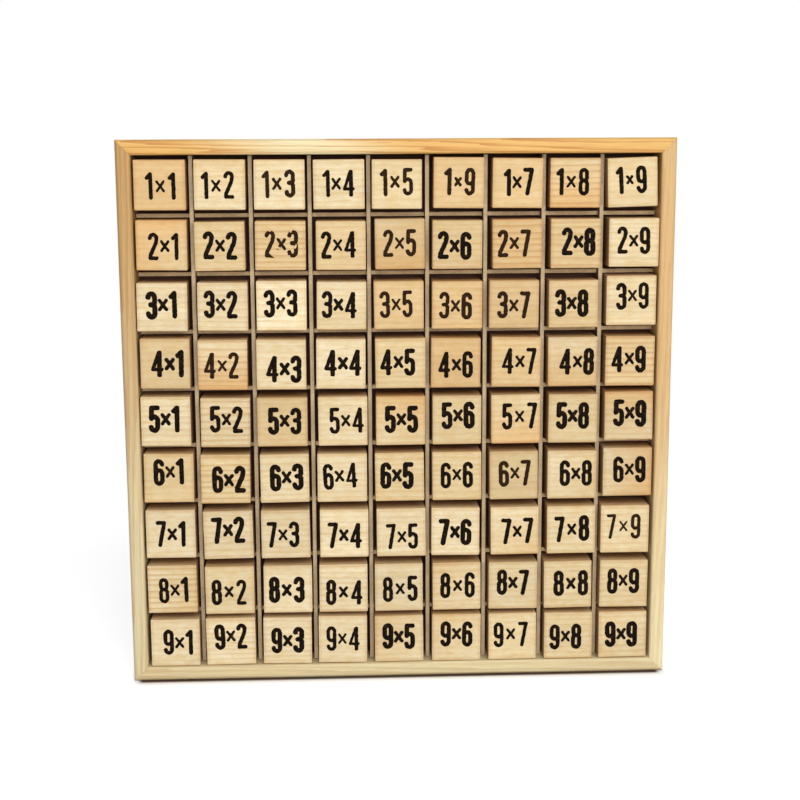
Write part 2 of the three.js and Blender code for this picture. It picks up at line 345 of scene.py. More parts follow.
def tile_pine(name, half):
    """Sawn and sanded pine block: a base tone of its own, faint growth rings across the face, mottled by
    uneven sanding, with long fibres, a few dark pores, a warmer, darker rim towards the edges of the face,
    sides browner from the saw and painted darker with depth as shade in the gaps, and darker end grain at
    the left and right. The mesh gives each tile's tone and grain, and half is half of a tile's size."""
    material, tree = start_material(name)
    # Widths in millimetres, drawn out along the grain. Real fibres and pores are too fine to show: these are
    # coarser.
    along = 16.0
    ring_width = 2.4
    patch_width = 7.0
    mottle_along = 2.0
    mottle_width = 2.0
    fibre_width = 0.4
    pore_width = 0.55
    # Where the rim, the sides' saw brown and painted shade, and the end grain start and end, from the tile's
    # sides and its front
    rim_start = half.x - 1.8 * MM
    depth_shade_start = 0.4 * MM - half.y
    depth_shade_end = 9 * MM - half.y
    end_start = half.x - 0.7 * MM
    end_end = half.x - 0.3 * MM
    end_front = 0.3 * MM - half.y
    end_back = 2 * MM - half.y
    coordinates = add_node(tree, "TexCoord")
    shift = add_node(tree, "Attribute", {"attribute_name": "grain_shift"})
    tone = add_node(tree, "Attribute", {"attribute_name": "tone"})
    figure = add_node(tree, "Attribute", {"attribute_name": "figure"})
    edge = add_node(tree, "Attribute", {"attribute_name": "edge"})
    grain = add_node(
        tree, "VectorMath", {"operation": "MULTIPLY_ADD", 1: (1 / MM / along, 1 / MM, 1 / MM)},
        {0: coordinates.outputs["Object"], 2: shift.outputs["Vector"]})
    rings = add_node(
        tree, "TexWave",
        {"wave_type": "BANDS", "bands_direction": "Z", "wave_profile": "SAW",
         "Scale": band_scale(ring_width), "Distortion": 6.0, "Detail": 2.0, "Detail Scale": 1.0},
        {"Vector": grain.outputs[0]})
    patches = add_node(
        tree, "TexNoise", {"Scale": 1 / patch_width, "Detail": 2.0},
        {"Vector": grain.outputs[0]})
    fibres = add_node(
        tree, "TexNoise", {"Scale": 1 / fibre_width, "Detail": 3.0, "Roughness": 0.65},
        {"Vector": grain.outputs[0]})
    pores = add_node(
        tree, "TexNoise", {"Scale": 1 / pore_width, "Detail": 1.0},
        {"Vector": grain.outputs[0]})
    short_grain = add_node(
        tree, "VectorMath", {"operation": "MULTIPLY_ADD", 1: (1 / MM / mottle_along, 1 / MM, 1 / MM)},
        {0: coordinates.outputs["Object"], 2: shift.outputs["Vector"]})
    mottle = add_node(
        tree, "TexNoise", {"Scale": 1 / mottle_width, "Detail": 3.0, "Roughness": 0.6},
        {"Vector": short_grain.outputs[0]})
    late_wood = add_node(
        tree, "MapRange", {**SMOOTH, "From Min": 0.4, "From Max": 1.0},
        {"Value": rings.outputs["Fac"]})
    ring_share = add_node(
        tree, "Math", {"operation": "MULTIPLY"},
        {0: late_wood.outputs[0], 1: figure.outputs["Fac"]})
    dark_tone = add_node(
        tree, "Mix", {**MULTIPLY, 0: 1.0, 7: linear("#D3B089")},
        {6: tone.outputs["Color"]})
    ringed = add_node(
        tree, "Mix", BLEND,
        {0: ring_share.outputs[0], 6: tone.outputs["Color"], 7: dark_tone.outputs[2]})
    patch_tone = add_node(
        tree, "MapRange", {"From Min": 0.3, "From Max": 0.7, "To Min": 0.9, "To Max": 1.08},
        {"Value": patches.outputs["Fac"]})
    patched = add_node(
        tree, "Mix", {**MULTIPLY, 0: 1.0},
        {6: ringed.outputs[2], 7: patch_tone.outputs[0]})
    mottle_share = add_node(
        tree, "MapRange", {"From Min": 0.68, "From Max": 0.32, "To Max": 0.75},
        {"Value": mottle.outputs["Fac"]})
    mottled = add_node(
        tree, "Mix", {**MULTIPLY, 7: linear("#F0DBB8")},
        {0: mottle_share.outputs[0], 6: patched.outputs[2]})
    fibre_tone = add_node(
        tree, "MapRange", {"From Min": 0.3, "From Max": 0.7, "To Min": 0.95, "To Max": 1.09},
        {"Value": fibres.outputs["Fac"]})
    fibred = add_node(
        tree, "Mix", {**MULTIPLY, 0: 1.0},
        {6: mottled.outputs[2], 7: fibre_tone.outputs[0]})
    pore_share = add_node(
        tree, "MapRange", {"From Min": 0.67, "From Max": 0.76, "To Max": 0.45},
        {"Value": pores.outputs["Fac"]})
    pored = add_node(
        tree, "Mix", {**BLEND, 7: linear("#A87B45")},
        {0: pore_share.outputs[0], 6: fibred.outputs[2]})
    edge_share = add_node(tree, "Math", {"operation": "MULTIPLY", 1: 0.5}, {0: edge.outputs["Fac"]})
    edged = add_node(
        tree, "Mix", {**BLEND, 7: linear("#C39A5E")},
        {0: edge_share.outputs[0], 6: pored.outputs[2]})
    mirrored = add_node(tree, "VectorMath", {"operation": "ABSOLUTE"}, {0: coordinates.outputs["Object"]})
    sides = add_node(tree, "SeparateXYZ", None, {0: mirrored.outputs[0]})
    outermost = add_node(
        tree, "Math", {"operation": "MAXIMUM"},
        {0: sides.outputs["X"], 1: sides.outputs["Z"]})
    rim_share = add_node(
        tree, "MapRange", {**SMOOTH, "From Min": rim_start, "From Max": half.x, "To Max": 0.42},
        {"Value": outermost.outputs[0]})
    rimmed = add_node(
        tree, "Mix", {**MULTIPLY, 7: linear("#DBB27C")},
        {0: rim_share.outputs[0], 6: edged.outputs[2]})
    axes = add_node(tree, "SeparateXYZ", None, {0: coordinates.outputs["Object"]})
    # Browner from the saw on the sides, and painted darker with depth there as shade in the gaps between tiles
    saw_and_depth_shade_share = add_node(
        tree, "MapRange", {**SMOOTH, "From Min": depth_shade_start, "From Max": depth_shade_end, "To Max": 0.6},
        {"Value": axes.outputs["Y"]})
    sawn = add_node(
        tree, "Mix", {**MULTIPLY, 7: linear("#B9855A")},
        {0: saw_and_depth_shade_share.outputs[0], 6: rimmed.outputs[2]})
    end_share = add_node(
        tree, "MapRange", {**SMOOTH, "From Min": end_start, "From Max": end_end, "To Max": 0.55},
        {"Value": sides.outputs["X"]})
    end_depth = add_node(
        tree, "MapRange", {"From Min": end_front, "From Max": end_back},
        {"Value": axes.outputs["Y"]})
    end_grain = add_node(
        tree, "Math", {"operation": "MULTIPLY"},
        {0: end_share.outputs[0], 1: end_depth.outputs[0]})
    ended = add_node(
        tree, "Mix", {**MULTIPLY, 7: linear("#9A6C45")},
        {0: end_grain.outputs[0], 6: sawn.outputs[2]})
    roughness = add_node(
        tree, "MapRange", {"To Min": 0.5, "To Max": 0.7},
        {"Value": fibres.outputs["Fac"]})
    relief = add_node(
        tree, "Bump", {"Strength": 0.3, "Distance": 0.05 * MM},
        {"Height": fibres.outputs["Fac"]})
    surface = add_node(
        tree, "BsdfPrincipled", {"IOR": 1.5},
        {"Base Color": ended.outputs[2], "Roughness": roughness.outputs[0], "Normal": relief.outputs[0]})
    add_node(tree, "OutputMaterial", None, {"Surface": surface.outputs[0]})
    return material


def stamping_ink(name, colour):
    """Oil-based stamping ink on bare wood: a thin, nearly black film, a little browner where the wood drank
    it and all over a dry stamp, which the mesh marks, with a dull shine that breaks up in patches."""
    material, tree = start_material(name)
    patch_width = 0.8
    _, millimetres = in_millimetres(tree)
    patches = add_node(
        tree, "TexNoise", {"Scale": 1 / patch_width, "Detail": 3.0},
        {"Vector": millimetres.outputs[0]})
    dry = add_node(tree, "Attribute", {"attribute_name": "dry"})
    thin_share = add_node(
        tree, "MapRange", {"From Min": 0.5, "From Max": 0.72, "To Max": 0.3},
        {"Value": patches.outputs["Fac"]})
    dry_share = add_node(
        tree, "Math", {"operation": "MULTIPLY_ADD", 1: 0.2},
        {0: dry.outputs["Fac"], 2: thin_share.outputs[0]})
    inked = add_node(tree, "Mix", {**BLEND, 6: colour, 7: linear("#54371F")}, {0: dry_share.outputs[0]})
    roughness = add_node(
        tree, "MapRange", {"To Min": 0.6, "To Max": 0.85},
        {"Value": patches.outputs["Fac"]})
    surface = add_node(
        tree, "BsdfPrincipled", {"IOR": 1.48, "Specular IOR Level": 0.05},
        {"Base Color": inked.outputs[2], "Roughness": roughness.outputs[0]})
    add_node(tree, "OutputMaterial", None, {"Surface": surface.outputs[0]})
    return material


def raw_fibreboard(name, colour, front):
    """Sawn fibreboard strip, unfinished: beige, felted from short fibres that show as pale and dark flecks,
    and quite dull. Behind its sawn front edge its sides are painted browner with depth, as shade."""
    material, tree = start_material(name)
    fleck_width = 0.5
    cloud_width = 6.0
    # Depths behind the front at which the painted shade on the sides starts and is full
    unshadowed_depth = 0.1 * MM
    full_shade_depth = 1.5 * MM
    coordinates, millimetres = in_millimetres(tree)
    flecks = add_node(
        tree, "TexNoise", {"Scale": 1 / fleck_width, "Detail": 4.0, "Roughness": 0.7, "Distortion": 1.5},
        {"Vector": millimetres.outputs[0]})
    clouds = add_node(
        tree, "TexNoise", {"Scale": 1 / cloud_width, "Detail": 2.0},
        {"Vector": millimetres.outputs[0]})
    fleck_share = add_node(
        tree, "MapRange", {"From Min": 0.35, "From Max": 0.68},
        {"Value": flecks.outputs["Fac"]})
    flecked = add_node(
        tree, "Mix", {**BLEND, 6: shade(colour, 0.72), 7: shade(colour, 1.25)},
        {0: fleck_share.outputs[0]})
    cloud_tone = add_node(
        tree, "MapRange", {"From Min": 0.3, "From Max": 0.7, "To Min": 0.85, "To Max": 1.12},
        {"Value": clouds.outputs["Fac"]})
    clouded = add_node(
        tree, "Mix", {**MULTIPLY, 0: 1.0},
        {6: flecked.outputs[2], 7: cloud_tone.outputs[0]})
    axes = add_node(tree, "SeparateXYZ", None, {0: coordinates.outputs["Object"]})
    # Painted shade: the sides darken towards brown with depth behind the front
    depth_shade_share = add_node(
        tree, "MapRange",
        {"From Min": front + unshadowed_depth, "From Max": front + full_shade_depth, "To Max": 0.8},
        {"Value": axes.outputs["Y"]})
    depth_shaded = add_node(
        tree, "Mix", {**MULTIPLY, 7: linear("#8F6240")},
        {0: depth_shade_share.outputs[0], 6: clouded.outputs[2]})
    roughness = add_node(
        tree, "MapRange", {"To Min": 0.78, "To Max": 0.95},
        {"Value": flecks.outputs["Fac"]})
    surface = add_node(
        tree, "BsdfPrincipled", {"IOR": 1.5},
        {"Base Color": depth_shaded.outputs[2], "Roughness": roughness.outputs[0]})
    add_node(tree, "OutputMaterial", None, {"Surface": surface.outputs[0]})
    return material


def pressed_hardboard(name, colour, rear_colour, middle):
    """Hardboard pressed from wet brown fibres: clouded and lightly flecked, dark with a smooth dull shine in
    front, where the given colour also serves as painted shade for the deep gaps. Its rear, beyond the
    given middle of its depth, is paler and keeps the weave of the wire mesh on which it was pressed."""
    material, tree = start_material(name)
    cloud_width = 14.0
    fleck_width = 0.7
    mesh_pitch = 1.5
    coordinates, millimetres = in_millimetres(tree)
    axes = add_node(tree, "SeparateXYZ", None, {0: coordinates.outputs["Object"]})
    behind = add_node(tree, "Math", {"operation": "GREATER_THAN", 1: middle}, {0: axes.outputs["Y"]})
    base = add_node(tree, "Mix", {**BLEND, 6: colour, 7: rear_colour}, {0: behind.outputs[0]})
    clouds = add_node(
        tree, "TexNoise", {"Scale": 1 / cloud_width, "Detail": 3.0},
        {"Vector": millimetres.outputs[0]})
    cloud_tone = add_node(
        tree, "MapRange", {"From Min": 0.3, "From Max": 0.7, "To Min": 0.87, "To Max": 1.13},
        {"Value": clouds.outputs["Fac"]})
    clouded = add_node(tree, "Mix", {**MULTIPLY, 0: 1.0}, {6: base.outputs[2], 7: cloud_tone.outputs[0]})
    flecks = add_node(
        tree, "TexNoise", {"Scale": 1 / fleck_width, "Detail": 4.0, "Roughness": 0.7, "Distortion": 1.2},
        {"Vector": millimetres.outputs[0]})
    fleck_tone = add_node(
        tree, "MapRange", {"From Min": 0.3, "From Max": 0.7, "To Min": 0.78, "To Max": 1.2},
        {"Value": flecks.outputs["Fac"]})
    flecked = add_node(
        tree, "Mix", {**MULTIPLY, 0: 1.0},
        {6: clouded.outputs[2], 7: fleck_tone.outputs[0]})
    wires = {}
    for way in "XZ":
        wires[way] = add_node(
            tree, "TexWave",
            {"wave_type": "BANDS", "bands_direction": way, "wave_profile": "SIN",
             "Scale": band_scale(mesh_pitch)},
            {"Vector": millimetres.outputs[0]})
    weave = add_node(
        tree, "Math", {"operation": "MULTIPLY"},
        {0: wires["X"].outputs["Fac"], 1: wires["Z"].outputs["Fac"]})
    weave_share = add_node(
        tree, "Math", {"operation": "MULTIPLY"},
        {0: weave.outputs[0], 1: behind.outputs[0]})
    woven = add_node(
        tree, "Mix", {**MULTIPLY, 7: linear("#A58A70")},
        {0: weave_share.outputs[0], 6: flecked.outputs[2]})
    roughness = add_node(
        tree, "MapRange", {"To Min": 0.55, "To Max": 0.75},
        {"Value": flecks.outputs["Fac"]})
    relief = add_node(
        tree, "Bump", {"Strength": 0.5, "Distance": 0.15 * MM},
        {"Height": weave_share.outputs[0]})
    surface = add_node(
        tree, "BsdfPrincipled", {"IOR": 1.5, "Specular IOR Level": 0.25},
        {"Base Color": woven.outputs[2], "Roughness": roughness.outputs[0], "Normal": relief.outputs[0]})
    add_node(tree, "OutputMaterial", None, {"Surface": surface.outputs[0]})
    return material


def link_piece(name, mesh, materials):
    """A new object in the scene with its materials."""
    piece = bpy.data.objects.new(name, mesh)
    bpy.context.scene.collection.objects.link(piece)
    for material in materials:
        mesh.materials.append(material)
    return piece


def soften_edges(piece, width):
    """Rounds a CAD node's sawn edges with a modifier, so that its own mesh stays as packed."""
    bevel = piece.modifiers.new("Sawn edges", "BEVEL")
    bevel.width = width
    bevel.segments = 2
    bevel.limit_method = "ANGLE"


def quarter_turn(middle, radius, start, segments=6):
    """Points on a quarter circle, from the angle start on, counted in degrees."""
    angles = [math.radians(start + 90 * step / segments) for step in range(segments + 1)]
    return [(middle[0] + radius * math.cos(a), middle[1] + radius * math.sin(a)) for a in angles]


# Sections along a rail, how far they wander, and the wander's angle from the middle to an end in radians
RAIL_SECTIONS = 24
RAIL_WANDER = 0.08 * MM
WANDER_TURN = 5

# The angle from which an edge of a rail is sharp
SHARP_ANGLE = math.radians(40)

# Each rail's wood: where its sapwood lies and how far it reaches, in half lengths of the rail, how bright
# that is, how strong the streaks are, and how far its outer edge is painted darker as shade. Each rail is
# cut from further along and across the plank.
PLANKS = {
    "bottom": {"pale_place": 0.2, "pale_reach": 1.5, "pale": 1.0, "streaks": 0.35, "painted_edge_shade": 0.5},
    "left": {"pale_place": 0.8, "pale_reach": 1.8, "pale": 0.95, "streaks": 0.45, "painted_edge_shade": 0.25},
    "top": {"pale_place": 0.37, "pale_reach": 0.45, "pale": 1.12, "streaks": 0.8, "painted_edge_shade": 0.1},
    "right": {"pale_place": -1.0, "pale_reach": 1.3, "pale": 1.12, "streaks": 0.25, "painted_edge_shade": 0.0},
}
NEXT_CUT = (3.1, 7.0, 0.0)


def rail_profile(face, depth, ease, lap, panel):
    """A rail's section: distance in from the outer side, and depth from the front. Both front edges are
    eased, and a rabbet behind takes the back."""
    outer_edge = quarter_turn((ease, ease), ease, 180)
    inner_edge = quarter_turn((face - ease, ease), ease, 270)
    rabbet = [(face, depth - panel), (face - lap, depth - panel), (face - lap, depth)]
    return [(0, depth)] + outer_edge + inner_edge + rabbet


def rail_mesh(name, profile, half, front, mitre_inset, ease):
    """The rail as it lies at the bottom, about the board's middle, with mitred ends. Its sections wander
    outwards a little, as a planed strip does."""
    mesh = bmesh.new()
    rings = []
    for section in range(RAIL_SECTIONS + 1):
        share = 2 * section / RAIL_SECTIONS - 1
        sway = RAIL_WANDER * (math.sin(WANDER_TURN * share) - 1) / 2 * (1 - share * share)
        ring = []
        for inward, depth in profile:
            x = share * (half - mitre_inset - inward)
            ring.append(mesh.verts.new((x, front + depth, inward - half + sway * (inward > 0))))
        rings.append(ring)
    count = len(profile)
    for before, after in zip(rings, rings[1:]):
        for corner in range(count):
            following = (corner + 1) % count
            mesh.faces.new((before[corner], before[following], after[following], after[corner]))
    mesh.faces.new(rings[0])
    mesh.faces.new(rings[-1])
    bmesh.ops.recalc_face_normals(mesh, faces=mesh.faces)
    for face in mesh.faces:
        face.smooth = len(face.verts) == 4
    data = bpy.data.meshes.new(name)
    mesh.to_mesh(data)
    mesh.free()
    data.set_sharp_from_angle(angle=SHARP_ANGLE)
    # How far each point lies on the outer rounded edge, where the pine paints its shade
    outer = [max(0.0, 1 - inward / ease) for inward, _ in profile] * (RAIL_SECTIONS + 1)
    data.attributes.new("outer", "FLOAT", "POINT").data.foreach_set("value", outer)
    return data


class BOARD_OT_rails(bpy.types.Operator):
    """Make the four mitred pine rails"""

    bl_idname = "board.rails"
    bl_label = "Rails"

    def execute(self, context):
        sizes = context.scene.board_sizes
        colours = context.scene.board_colours
        low, high = cad_bounds
        half = (high[0] - low[0]) / 2
        panel_low, panel_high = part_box("back_panel")
        left_low, left_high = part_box("rail_left")
        face = left_high.x - left_low.x
        lap = panel_high.x - (half - face)
        profile = rail_profile(face, high[1] - low[1], sizes.rail_ease, lap, panel_high.y - panel_low.y)
        mitre_inset = sizes.mitre_gap / math.sqrt(2)
        for quarter, (side, plank) in enumerate(PLANKS.items()):
            name = f"rail_{side}"
            mesh = rail_mesh(f"pine_{name}", profile, half, low[1], mitre_inset, sizes.rail_ease)
            sapwood = shade(colours.sapwood, plank["pale"])
            cut = tuple(quarter * step for step in NEXT_CUT)
            pine = planed_pine(f"Planed pine {side}", getattr(colours, name), sapwood,
                               plank["pale_place"] * half, plank["pale_reach"] * half,
                               plank["streaks"], plank["painted_edge_shade"], cut)
            rail = link_piece(f"pine_{name}", mesh, [pine])
            turn = Matrix.Rotation(quarter * math.pi / 2, 4, "Y")
            rail.matrix_world = Matrix.Translation((0, 0, half)) @ turn
            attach(rail, "tray")
            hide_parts(name)
        return {"FINISHED"}


class BOARD_OT_back(bpy.types.Operator):
    """Give the back its hardboard"""

    bl_idname = "board.back"
    bl_label = "Back"

    def execute(self, context):
        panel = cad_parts["back_panel"]
        panel.data.materials.clear()
        low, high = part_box("back_panel")
        middle = (low.y + high.y) / 2
        colours = context.scene.board_colours
        # The dark front colour doubles as painted shade in the gaps
        hardboard = pressed_hardboard("Pressed hardboard", colours.back, colours.back_rear, middle)
        panel.data.materials.append(hardboard)
        soften_edges(panel, context.scene.board_sizes.slat_ease)
        return {"FINISHED"}


class BOARD_OT_slats(bpy.types.Operator):
    """Give the crossed slats their fibreboard"""

    bl_idname = "board.slats"
    bl_label = "Slats"

    def execute(self, context):
        for way in ("row", "column"):
            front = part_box(f"{way}_slat_1")[0].y
            # Row and column slats get lit and shaded copies of one fibreboard colour
            colour = getattr(context.scene.board_colours, f"slat_{way}")
            fibreboard = raw_fibreboard(f"Raw fibreboard {way}", colour, front)
            for number in range(1, COUNT):
                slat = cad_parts[f"{way}_slat_{number}"]
                slat.data.materials.clear()
                slat.data.materials.append(fibreboard)
                soften_edges(slat, context.scene.board_sizes.slat_ease)
        return {"FINISHED"}


# Tiles that stand out, by their place (row x column): how far they lean to warm heartwood, or below zero to
# pale sapwood, how bright they are, and which have strong growth rings
TILE_WARMTH = {
    0.85: "2x5 4x6",
    0.6: "1x1 1x6 1x7 1x8 2x1 2x7 3x6",
    0.45: "2x3 3x5",
    0.25: "2x6 2x8 3x7 3x8 4x1 4x7 4x8 6x9",
    -0.7: "1x2 1x4 2x9 3x1 3x2 3x4 3x9 4x3 5x1 5x2 5x4 6x3 6x4 6x8 7x1 7x2 7x5 8x3 8x4 8x5 9x1",
    -1.1: "1x3 3x3 4x4 7x3 7x4 7x6 9x2 9x3 9x4",
}
TILE_BRIGHTNESS = {
    0.83: "2x5 3x7 5x9 6x7 8x5",
    0.88: "2x6 2x7 2x8 3x8 4x1 4x6 4x8 5x2 5x3 5x6 5x8 6x9 7x2 7x3 8x7",
    1.05: "1x3 2x1 4x4 6x6 7x6 7x7 7x8 7x9 9x2 9x3 9x4",
    1.1: "1x2 7x4 9x7",
    1.18: "3x3",
}
FIGURED_TILES = "1x8 2x8 2x3 2x7 4x2 4x9 5x2 6x2 8x1".split()

# Tiles that turn from sapwood to heartwood across the face: by how much to the right, and by how much upwards
TURNING_TILES = {
    "1x2": (0, 1.0), "1x3": (0, 0.6), "1x8": (0, -0.8), "2x1": (-0.5, 0.5), "2x5": (0.2, -0.9),
    "3x4": (0, -0.5), "4x2": (0.2, -1.4), "4x8": (0, -0.6), "5x5": (0.3, 0.6), "5x7": (0, -0.6),
    "5x9": (0, 0.8), "6x8": (0.9, 0), "6x9": (0.8, -0.3), "7x7": (0.4, -0.5), "8x1": (0.6, 0),
    "8x6": (-0.4, 0.4), "9x5": (-0.5, 0.2), "9x6": (-0.3, 0.5),
}

# Chance in a tile's lean to heartwood, the rows of paler wood and how far they lean away from heartwood
LEAN_CHANCE = 0.2
PALE_ROWS = "789"
PALE_ROW_LEAN = 0.5

# Ranges of a tile's brightness, and of its growth rings' strength where they are strong and where they aren't
BRIGHT_RANGE = (0.98, 1.02)
STRONG_RINGS = (0.65, 0.9)
FAINT_RINGS = (0.15, 0.4)

# How far apart in the pattern of the grain tiles are cut
PLANK_SPREAD = 400

# In millimetres: how far out of true a tile's corners are, the room that it keeps at the sides of its cell,
# and how near to a row's front a point counts as on it
CORNER_CHANCE = 0.06
TILE_CLEARANCE = 0.05
FRONT_REACH = 0.01

# Ranges of a tile's shortfall in width and in height, as shares of the most. The top rows have all of that in
# height, and the other rows and the last row these shares of it.
TRIM_WIDTH = (0, 0.4)
TRIM_HEIGHT = (0.2, 1)
SHORT_ROWS = 3
OTHER_ROW_TRIM = 0.1
LAST_ROW_TRIM = 0.3

# Stamps that stand out: how heavily they are inked, or below zero how thinly, then those with a small cross,
# spaced widely, broken where the stamp missed the wood, or brown because the stamp was dry
STAMP_WEIGHT = {
    1.0: "2x6 2x8 3x1 3x8 4x1 4x3 4x4 5x1 5x3 5x5 5x6 5x8 5x9 6x2 6x3 6x5 7x2 7x6 8x3 9x3 9x5 9x9",
    0.45: "2x2 3x2 3x3 3x4 4x5 4x6 4x8 4x9 5x2 6x1 6x8 6x9 7x1 7x4 7x7 7x8 8x7 8x8 8x9 9x2 9x6 9x8",
    -0.6: "7x9",
}
SMALL_CROSSES = "1x6 1x9".split()
SMALL_CROSS = 0.7
WIDE_STAMPS = "1x1 1x2 1x3 1x5 1x6 1x8 1x9 5x7 7x8 7x9 8x2 8x3 8x4 8x5 8x6 8x8 9x7".split()
WIDE_GAP = 2
BROKEN_STAMPS = "2x3".split()
DRY_STAMPS = "1x3 1x5 1x6 2x3 2x5 2x7 3x5 3x6 3x7 4x2 6x7 7x9".split()

# Tiles and stamps that lean to the left, in degrees
LEANING_TILES = {"1x9": 1.7, "9x2": 0.6, "7x2": 0.8}
LEANING_STAMPS = {"7x2": 1.8, "6x4": 2.0, "9x2": 1.5, "1x9": 1.2, "2x9": 1.5}

# The sixth tile of the top row was stamped with its last digit upside down
UPSIDE_DOWN = {(1, 6): 9}

# Sums that sit off the middle of their cells: how far to the right, and how far up, in millimetres. Between
# the first and the last row all sums also sit higher on their tiles.
SUMS_RIGHT = {
    -1.1: "1x8 1x9 2x6 3x5 4x2 5x1 6x5 7x3 7x9 9x8 9x9",
    -0.7: "1x2 1x5 2x7 3x1 3x2 3x6 3x7 3x8 4x5 4x6 4x9 6x4 7x6 8x9 9x5 9x7",
    -0.3: "1x3 2x2 2x4 3x3 3x4 8x2 9x4",
    0.4: "1x1 2x3 2x5 2x9 3x9 4x3 5x2 5x3 5x6 5x8 5x9 6x7 8x1 8x4 8x6",
    0.8: "1x6 1x7 2x1 4x1 4x4 5x5 6x2 6x3 6x9 7x4 7x5 7x8 8x8",
    1.6: "2x8 4x7 4x8 7x7 9x1",
    2.1: "5x4 5x7 6x8",
}
SUMS_UP = {
    -2.1: "4x3 7x5 8x4",
    -1.2: "2x6 3x6 3x7 4x6 7x4 8x2 8x5",
    -0.6: "1x1 1x2 2x1 2x2 2x4 2x7 3x4 3x5 3x8 4x2 4x8 6x2 7x3 7x6 7x7 8x3 9x8",
    0.4: "1x5 1x6 1x9 2x9 3x3 4x1 4x9 6x4 6x7 7x1 9x4",
    0.8: "5x2 5x7 5x8 7x9 8x7 8x9 9x5 9x7",
    1.4: "5x1 5x6 5x9 6x9 7x2 9x6",
    2.1: "3x9 9x2",
    3.0: "6x1",
}
SUM_RISE = 0.4

# Ink, in millimetres: the grid on which a mark is drawn, and how far and in what lengths its edge ripples
INK_GRID = 0.14
INK_RIPPLE = 0.05
RIPPLE_LENGTHS = (0.9, 2.6)

# Where a broken stamp misses the wood: how steeply the ink ends there, and the lengths and the level of the
# waves that bound it
MISS_DEPTH = 0.35
MISS_LENGTHS = (2.2, 5.0)
MISS_LEVEL = 0.95

# In millimetres: how closely an ink outline keeps to the mark and its longest side, and twice the area of the
# smallest blot
OUTLINE_REACH = 0.008
OUTLINE_SIDE = 0.6
SMALLEST_BLOT = 0.1

# Chance, in millimetres, in the width of a stroke and in the height at which a mark sits
STROKE_CHANCE = 0.1
MARK_CHANCE = 0.2

# Degrees between the points of a round stroke
ROUND_STEP = 15


def listed(groups, place):
    """The number under which a tile's place is listed, or 0 where it isn't."""
    return sum(number for number, places in groups.items() if place in places.split())


def bow(height, reach, start, stop, width=1.0):
    """Points on part of an oval about the digit's middle line, from one angle to another in degrees."""
    steps = max(4, round(abs(stop - start) / ROUND_STEP))
    angles = [math.radians(start + (stop - start) * step / steps) for step in range(steps + 1)]
    return [(width * math.cos(a), height + reach * math.sin(a)) for a in angles]


def turned(strokes):
    """The same strokes upside down, which makes a nine of a six."""
    return [[(-x, 1 - z) for x, z in stroke] for stroke in strokes]


# The middle lines of a narrow sans serif's strokes: x in half widths from the digit's middle, z in heights.
# A four has finer strokes, so that its corner stays open, and two of them side by side for its stem.
SIX = [bow(0.83, 0.17, 8, 180) + bow(0.17, 0.17, 180, 360) + bow(0.42, 0.17, 0, 180)]
STROKES = {
    1: [[(-0.62, 0.84), (0.42, 0.99), (0.42, 0)]],
    2: [bow(0.83, 0.17, 172, -20) + [(0.72, 0.62), (-0.86, 0.13), (-0.93, 0), (1, 0)]],
    3: [bow(0.83, 0.17, 172, 0) + bow(0.66, 0.13, 0, -90) + [(-0.25, 0.53)],
        [(-0.25, 0.53)] + bow(0.4, 0.13, 90, 0) + bow(0.17, 0.17, 0, -172)],
    4: [[(0.42, 0), (0.42, 1), (-1.42, 0.26), (1.25, 0.26)], [(0.72, 0), (0.72, 1), (0.42, 1)]],
    5: [[(0.95, 1), (-0.82, 1), (-0.9, 0.52)] + bow(0.44, 0.17, 140, 0) + bow(0.17, 0.17, 0, -172)],
    6: SIX,
    7: [[(-1, 1), (1, 1), (0.5, 0.62), (-0.3, 0)]],
    8: [bow(0.84, 0.16, 0, 180, 0.93) + bow(0.7, 0.15, 180, 360, 0.93) + [(0.93, 0.84)],
        bow(0.4, 0.15, 0, 180) + bow(0.16, 0.16, 180, 360) + [(1, 0.4)]],
    9: turned(SIX),
    "x": [[(-1, 0), (1, 1)], [(-1, 1), (1, 0)]],
}
FOUR_STROKE = 0.78

# Stands in for the squared length of a stroke that has none
NO_LENGTH = 1e-18


def distance_to(strokes, x, z):
    """How far each point of a grid lies from the nearest stroke."""
    nearest = np.full(x.shape, np.inf)
    for stroke in strokes:
        for (ax, az), (bx, bz) in zip(stroke, stroke[1:]):
            along_x, along_z = bx - ax, bz - az
            squared = max(along_x * along_x + along_z * along_z, NO_LENGTH)
            share = np.clip(((x - ax) * along_x + (z - az) * along_z) / squared, 0, 1)
            nearest = np.minimum(nearest, np.hypot(x - ax - share * along_x, z - az - share * along_z))
    return nearest


def ripple(x, z, chance, lengths, parts=5):
    """A smooth random field between about -1 and 1, whose waves have lengths in the given range, which is in
    millimetres."""
    shortest, longest = (length * MM for length in lengths)
    field = np.zeros(x.shape)
    for _ in range(parts):
        angle = chance.uniform(0, math.tau)
        pull = math.tau / chance.uniform(shortest, longest)
        field += np.sin(pull * (x * math.cos(angle) + z * math.sin(angle)) + chance.uniform(0, math.tau))
    return field / math.sqrt(parts)


# Each square of the grid by which of its corners are inside (1, 2, 4 and 8 round from the lower left): the
# sides where an outline comes in and goes out with the inside on its left. Sides 0 to 3 are the lower, the
# right, the upper and the left one.
CROSSINGS = {
    1: ((0, 3),), 2: ((1, 0),), 3: ((1, 3),), 4: ((2, 1),), 5: ((0, 3), (2, 1)), 6: ((2, 0),), 7: ((2, 3),),
    8: ((3, 2),), 9: ((0, 2),), 10: ((1, 0), (3, 2)), 11: ((1, 2),), 12: ((3, 1),), 13: ((0, 1),),
    14: ((3, 0),),
}


